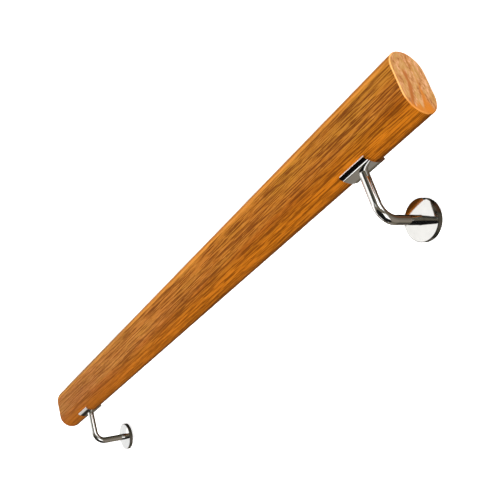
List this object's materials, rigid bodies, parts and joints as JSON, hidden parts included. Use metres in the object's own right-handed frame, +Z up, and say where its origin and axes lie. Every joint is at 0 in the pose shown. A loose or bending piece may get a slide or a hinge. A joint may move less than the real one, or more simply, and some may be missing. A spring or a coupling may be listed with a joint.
{
  "type": "stair handrail length",
  "caption": "Straight length of oak wall handrail, obround in section, with bent round steel wall brackets, curved saddles and shallow domed roses.",
  "frame": {"origin": "middle of the part's box, on the floor that it lies on", "axes": "+X along the rail towards its upper end, +Z up from the floor. The wall face of the brackets leans: its outward normal, from the wall to the room, is (0, 0.399, 0.917), and up the wall is (0, 0.917, -0.399)"},
  "size_m": [1.2, 0.1982, 0.0778],
  "materials": {
    "oak": "clear satin lacquer over oak",
    "polished_steel": "mirror polished stainless steel",
    "plain_steel": "plain stainless steel"
  },
  "bodies": {
    "root": {"rail": "oak", "upper_saddle": "polished_steel", "upper_arm": "polished_steel", "upper_wall_flange": "plain_steel", "upper_rose": "polished_steel", "lower_saddle": "polished_steel", "lower_arm": "polished_steel", "lower_wall_flange": "plain_steel", "lower_rose": "polished_steel"}
  },
  "joints": []
}
